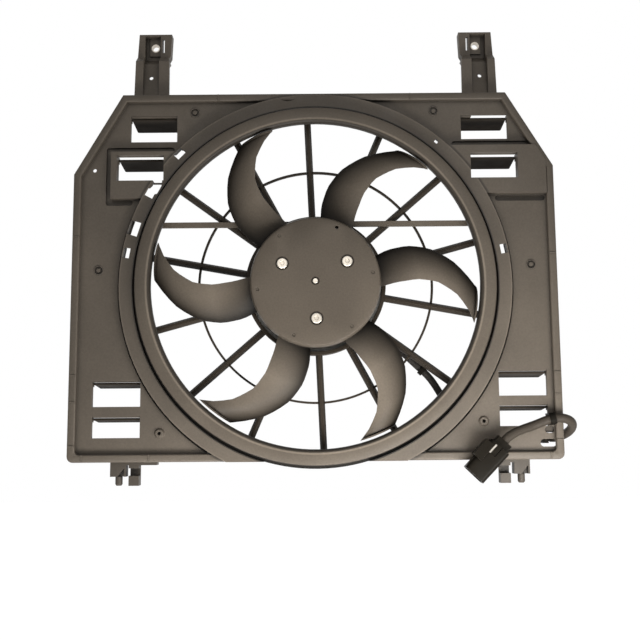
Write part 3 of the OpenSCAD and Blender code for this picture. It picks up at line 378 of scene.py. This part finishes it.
# %% [markdown]
# ## The metals of the motor
#
# The motor's bell is drawn steel with a black coating, its base cast aluminium with the sandy
# skin of the mould, and the screws and bushes are zinc plated, so they look pale beside the
# plastic. A metal's colour is its reflection, so the noise goes mostly into roughness: a plated
# surface is bright with faint clouds, a cast one is dull all over.

# %% Metals
METAL_ROUND = 0.0003
METAL_SPREAD = 0.08


def metal(name, colour, rough, grain=600.0, depth=0.00003, metallic=1.0):
    made = Finish(name, colour, rough, metallic)
    made.put("Base Color", made.clouds(made.noise(60.0, 3.0), scaled(colour, 0.88),
                                       scaled(colour, 1.08)))
    made.put("Roughness", made.between(made.noise(180.0, 4.0), rough - METAL_SPREAD,
                                       rough + METAL_SPREAD))
    made.put("Normal", made.bump(made.noise(grain, 3.0), depth, 0.5, made.rounded(METAL_ROUND)))
    return made


metals = [
    metal("bright_steel", (0.56, 0.51, 0.44), 0.40, metallic=0.8),
    metal("bell_steel", (0.040, 0.036, 0.031), 0.52, metallic=0.5),
    metal("core_steel", (0.30, 0.29, 0.28), 0.5),
    metal("cast_alloy", (0.30, 0.29, 0.27), 0.62, grain=900.0, depth=0.00012, metallic=0.7),
    metal("copper", (0.62, 0.25, 0.10), 0.34, grain=350.0, depth=0.00008),
    metal("contact", (0.62, 0.57, 0.47), 0.30),
    metal("magnet", (0.16, 0.16, 0.165), 0.5, metallic=0.6),
]
print("metals:", len(metals))

# %% [markdown]
# ## Rubber, clips, board and connector
#
# The small black pieces are different plastics. Rubber is dull, the clips and the connector
# are nylon with a slightly glossier skin than the shroud, and the board is lacquered green.

# %% Small plastics
# The lighter edges of these small pieces are a painted highlight, strongest on the connector.
small_plastics = [
    moulded("cover_black", (0.045, 0.042, 0.039), 0.52, grain=900.0, gloss=0.2),
    moulded("rubber_black", (0.022, 0.021, 0.020), 0.72, painted_edge_tone=1.5, gloss=0.1),
    moulded("clip_black", (0.009, 0.0078, 0.006), 0.46, painted_edge_tone=1.6, round_by=0.0005,
            gloss=0.04),
    moulded("connector_black", (0.008, 0.0065, 0.0045), 0.30, painted_edge_tone=4.5, round_by=0.0006,
            gloss=0.05),
    moulded("lock_grey", (0.30, 0.28, 0.25), 0.42, round_by=0.0004),
    moulded("board_green", (0.020, 0.10, 0.045), 0.30, cloud=0.1, depth=0.00002),
]
print("small plastics:", len(small_plastics))

# %% [markdown]
# ## The woven sheath
#
# The short lead to the connector runs in a tight woven sleeve that looks nearly smooth: flat
# strands cross each other over and under round the wires. The tube that is built below keeps,
# for each point, how far round and how far along it is, as a UV map. Two sine waves run across
# it, one along the sum of those two ways and one along their difference, like the two sets of
# strands, and the larger of the two is the strand on top.

# %% Woven sheath
SHEATH = (0.044, 0.036, 0.028)
TAPE = (0.030, 0.027, 0.024)


def woven(name, colour, strands, pitch, rough=0.55):
    """Strands that cross on a swept tube: how many there are round it, and their pitch."""
    made = Finish(name, colour, rough)
    on_tube = made.add("ShaderNodeUVMap", uv_map="along").outputs["UV"]
    parts = made.add("ShaderNodeSeparateXYZ", {"Vector": on_tube}).outputs
    round_by = made.math("MULTIPLY", parts["X"], strands)
    along = made.math("DIVIDE", parts["Y"], pitch)
    one, other = (made.math(way, round_by, along) for way in ("ADD", "SUBTRACT"))
    top = made.math("MAXIMUM", made.wave(one), made.wave(other))
    base = made.mix(made.share(top, -0.4, 1.0), scaled(colour, 0.82), scaled(colour, 1.08))
    base = made.mix(made.between(made.noise(40.0, 3.0), 0.0, 0.35), base, scaled(colour, 0.8))
    made.put("Base Color", base)
    made.put("Normal", made.bump(top, 0.0001, 0.6))
    made.put("Specular IOR Level", 0.15)
    made.put("Roughness", made.between(made.noise(90.0), rough - 0.06, rough + 0.08))
    return made


sheath = woven("sheath", SHEATH, 16.0, 0.0026)
loom_tape = woven("loom_tape", TAPE, 1.0, 0.016, 0.6)
print("sheath and tape:", sheath.name, loom_tape.name)

# %% [markdown]
# ## The lead to the connector
#
# The lead leaves the clip at the panel's lower right edge, turns out and towards the viewer in
# a loop, comes back over the rim and ends in the connector. It is a cord with its real length,
# so it is one tube swept along one smooth curve. The curve goes through the same points as the
# solid's, and a Catmull-Rom spline between them keeps the bends round.

# %% The lead's route
LEAD_D = 10.0
PIGTAIL_D = 12.0
RIM_H = 8.0
CONNECTOR_WIDE = 31.0
CONNECTOR_FLAT = 3.0  # its back is flat, this much inside its round
CONNECTOR_GAP = 0.3
CONNECTOR_TURN = math.radians(226)
EDGE_END = (318, -209, -29)
connector_way = Vector((math.cos(CONNECTOR_TURN), math.sin(CONNECTOR_TURN), 0))
connector_foot = Vector((240, -218.4, RIM_H + CONNECTOR_GAP + CONNECTOR_WIDE / 2 - CONNECTOR_FLAT))

pigtail_points = [
    EDGE_END, (324, -209, -29), (330, -207.8, -27), (335.4, -205, -22), (339.4, -201.6, -15.6),
    (341.4, -197.4, -7.6), (341, -192.8, 0.6), (338, -188.6, 7.8), (332.6, -185.4, 12.8),
    (326, -183.4, 14.8), (319, -182.9, 14.6), (311, -184, 14.2), (303, -186.2, 13.8),
    (295, -189.4, 12.8), (286.5, -192.6, 12.4), (278, -195.4, 13.6), (270, -198, 15.8),
    (262.5, -200.8, 18), (256, -204.2, 19.4),
    tuple(connector_foot - connector_way * 14 - Vector((0, 0, 0.4))),
    tuple(connector_foot - connector_way * 9.5),
    tuple(connector_foot - connector_way * 5),
]
print("route points:", len(pigtail_points))

# %% [markdown]
# A sweep carries a ring of points along the curve. Each ring takes over the last one's side
# direction, made square to the new way, so the tube doesn't twist.

# %% Sweep helper
TUBE_SIDES = 20
STEPS_BETWEEN = 6


def eased(points):
    """Catmull-Rom points through the given ones."""
    p = [Vector(q) for q in points]
    ends = [p[0] * 2 - p[1]] + p + [p[-1] * 2 - p[-2]]
    made = []
    for i in range(len(p) - 1):
        a, b, c, d = ends[i:i + 4]
        for j in range(STEPS_BETWEEN):
            t = j / STEPS_BETWEEN
            made.append(0.5 * ((2 * b) + (c - a) * t + (2 * a - 5 * b + 4 * c - d) * t * t
                               + (3 * b - a - 3 * c + d) * t ** 3))
    return made + [p[-1]]


def swept(name, path, radius):
    """A tube round the path, with its way round and its length as a UV map called along."""
    shape = bmesh.new()
    along = shape.loops.layers.uv.new("along")
    last = len(path) - 1
    ways = [(path[min(i + 1, last)] - path[max(i - 1, 0)]).normalized()
            for i in range(len(path))]
    angles = [k * math.tau / TUBE_SIDES for k in range(TUBE_SIDES)]
    side = ways[0].orthogonal().normalized()
    rings, walked = [], [0.0]
    for i, (point, way) in enumerate(zip(path, ways)):
        side = (side - way * side.dot(way)).normalized()
        over = way.cross(side)
        rings.append([shape.verts.new(point + (side * math.cos(a) + over * math.sin(a)) * radius)
                      for a in angles])
        if i:
            walked.append(walked[-1] + (point - path[i - 1]).length)
    for i in range(last):
        for k in range(TUBE_SIDES):
            n = (k + 1) % TUBE_SIDES
            face = shape.faces.new((rings[i][k], rings[i][n], rings[i + 1][n], rings[i + 1][k]))
            face.smooth = True
            marks = ((k, i), (k + 1, i), (k + 1, i + 1), (k, i + 1))
            for loop, (step, row) in zip(face.loops, marks):
                loop[along].uv = (step / TUBE_SIDES, walked[row])
    shape.faces.new(list(reversed(rings[0])))
    shape.faces.new(rings[-1])
    mesh = bpy.data.meshes.new(name)
    bmesh.ops.recalc_face_normals(shape, faces=shape.faces[:])
    shape.to_mesh(mesh)
    shape.free()
    made = bpy.data.objects.new(name, mesh)
    bpy.context.scene.collection.objects.link(made)
    return made, walked[-1]


def dress(piece, finish):
    """Gives a new piece its finish; it rides on the shroud."""
    piece.data.materials.append(finish.material)
    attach(piece, "root")


print("sweep helper ready")

# %% [markdown]
# The tube takes the place of the solid lead, and its length is printed.

# %% Sweep the lead to the connector
pigtail_path = eased([place(*q) for q in pigtail_points])
pigtail, pigtail_length = swept("pigtail_sleeve", pigtail_path, PIGTAIL_D / 2000)
dress(pigtail, sheath)
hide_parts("pigtail")
print("lead to the connector:", round(pigtail_length * 1000, 1), "mm")

# %% [markdown]
# ## The lead behind the panel
#
# From the gland in the motor's rear cover the lead runs behind the shroud to the panel's edge,
# held by three clips. It is wrapped in cloth tape, wound with an overlap, so it gets the same
# sweep and a spiral instead of a weave.

# %% Lead behind the panel
TAPE_PLAY = 0.1  # keeps the tape clear of the clips
GLAND_TURN = math.radians(320)
GLAND_H = -29.5
gland_way = Vector((math.cos(GLAND_TURN), math.sin(GLAND_TURN), 0))
lead_points = [tuple(gland_way * d + Vector((0, 0, GLAND_H))) for d in (69, 81, 95)] + [
    (93, -73, -28.5), (115.8, -88.5, -28), (136.1, -107.2, -28), (155, -125.8, -28.5),
    (168.5, -146, -29), (180, -168, -29.5), (196, -188, -29.5), (216, -202, -29),
    (240, -208.5, -29), (266, -209, -29), (292, -209, -29), EDGE_END]
lead_path = eased([place(*q) for q in lead_points])
lead, lead_length = swept("taped_lead", lead_path, (LEAD_D - TAPE_PLAY) / 2000)
dress(lead, loom_tape)
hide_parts("motor_lead")
print("lead behind the panel:", round(lead_length * 1000, 1), "mm")

# %% [markdown]
# ## Finishes for the solids
#
# The solids stay as they are and take the finishes above by name. Their curved faces came as
# flat facets, so each is shaded smooth: Weld joins the facets' doubled corners, and Edge Split
# keeps every edge sharp that turns by more than 32 degrees.

# %% Dress the solids
SAME_CORNER = 0.00002
SHARP_ANGLE = math.radians(32)
FINISHES = {made.name: made for made in plastics + metals + small_plastics + [sheath]}
NODE_FINISH = {
    "bright_steel": ["bracket_bushes", "fan_screws", "motor_shaft", "front_bearing",
                     "rear_bearing", "motor_screws", "cover_screws"],
    "ribs": ["motor_spokes", "spoke_hoop", "motor_ring"],
    "ring": ["fan_ring"],
    "panel": ["shroud_panel"],
    "bar": ["tie_bar"],
    "foot": ["left_foot", "right_foot"],
    "fan": ["fan"],
    "bell_steel": ["rotor_bell"],
    "magnet": ["rotor_magnets"],
    "core_steel": ["stator_core"],
    "copper": ["stator_coils"],
    "cast_alloy": ["motor_base"],
    "board_green": ["controller_board"],
    "cover_black": ["rear_cover"],
    "rubber_black": ["cable_gland"],
    "clip_black": ["lead_clips", "edge_clip", "motor_lead"],
    "sheath": ["pigtail"],
    "connector_black": ["connector_housing", "connector_cap"],
    "lock_grey": ["connector_lock"],
    "contact": ["connector_terminals"],
}
finish_of = {node: name for name, nodes in NODE_FINISH.items() for node in nodes}


def shade_smooth(solid):
    for face in solid.data.polygons:
        face.use_smooth = True
    weld = solid.modifiers.new("weld", "WELD")
    weld.merge_threshold = SAME_CORNER
    split = solid.modifiers.new("split", "EDGE_SPLIT")
    split.split_angle = SHARP_ANGLE


for name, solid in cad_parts.items():
    finish = finish_of.get(name, "flap" if name.startswith("flap_") else "shroud")
    solid.data.materials.clear()
    solid.data.materials.append(FINISHES[finish].material)
    shade_smooth(solid)
print("dressed solids:", len(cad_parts))

# %% [markdown]
# ## Floor and light
#
# The picture has a plain white ground. The floor is well below the fan, which hangs from its
# bolts, and it is white with a soft shadow. A softbox near the lower right corner and a wide
# one below give the slow change from the bright lower edge to the darker top, a weak one far
# in front of the top fills, and the world adds an even grey. Only what the camera or a
# reflection sees of the world is white.

# %% Floor
FLOOR_Z = -1.12
floor_shape = bmesh.new()
bmesh.ops.create_grid(floor_shape, x_segments=2, y_segments=2, size=6.0)
floor_mesh = bpy.data.meshes.new("floor")
floor_shape.to_mesh(floor_mesh)
floor_shape.free()
floor = bpy.data.objects.new("floor", floor_mesh)
floor.location = (0, 0, FLOOR_Z)
bpy.context.scene.collection.objects.link(floor)

ground = Finish("ground", (0.86, 0.86, 0.86), 0.8)
ground.put("Emission Color", (1, 1, 1, 1))
ground.put("Emission Strength", ground.math("MULTIPLY", ground.seen(), 0.9))
floor.data.materials.append(ground.material)
print("floor at", FLOOR_Z)

# %% [markdown]
# The world is a weak warm grey as a light, and white where something sees it.

# %% World
WARM_WHITE = (1.0, 0.985, 0.96)
WORLD_LEVEL = 0.09

world = bpy.data.worlds.new("studio")
bpy.context.scene.world = world
world.use_nodes = True
world.node_tree.nodes.clear()
studio = Nodes(world.node_tree)
soft_grey = studio.add("ShaderNodeBackground", {"Color": (*WARM_WHITE, 1),
                                                "Strength": WORLD_LEVEL})
white = studio.add("ShaderNodeBackground", {"Color": (1, 1, 1, 1), "Strength": 1.0})
choose = studio.add("ShaderNodeMixShader", {0: studio.seen(), 1: soft_grey.outputs[0],
                                            2: white.outputs[0]})
studio.add("ShaderNodeOutputWorld", {"Surface": choose.outputs[0]})
print("world set")

# %% [markdown]
# A softbox is an area lamp that the camera doesn't see, aimed at a place on the fan.

# %% Softboxes


def softbox(name, where, aim, wide, tall, watts):
    lamp_data = bpy.data.lights.new(name, "AREA")
    lamp_data.shape = "RECTANGLE"
    lamp_data.size = wide
    lamp_data.size_y = tall
    lamp_data.energy = watts
    lamp_data.color = WARM_WHITE
    lamp = bpy.data.objects.new(name, lamp_data)
    lamp.location = where
    lamp.rotation_euler = (Vector(aim) - Vector(where)).to_track_quat("-Z", "Y").to_euler()
    lamp.visible_camera = False
    bpy.context.scene.collection.objects.link(lamp)
    return lamp


key = softbox("key", (0.30, -0.34, -0.74), (0.14, 0.0, -0.50), 0.36, 0.2, 3.0)
low = softbox("low", (-0.08, -0.36, -0.90), (-0.04, 0.0, -0.50), 0.6, 0.16, 3.4)
top = softbox("top", (0.10, -0.95, 0.00), (0.0, 0.0, -0.35), 0.8, 0.5, 2.4)
print("softboxes:", key.name, low.name, top.name)

# %% [markdown]
# ## The picture's settings
#
# The colours are kept as they are: the Standard view shows a grey as the grey it is.

# %% Settings and the end
bpy.context.scene.view_settings.view_transform = "Standard"
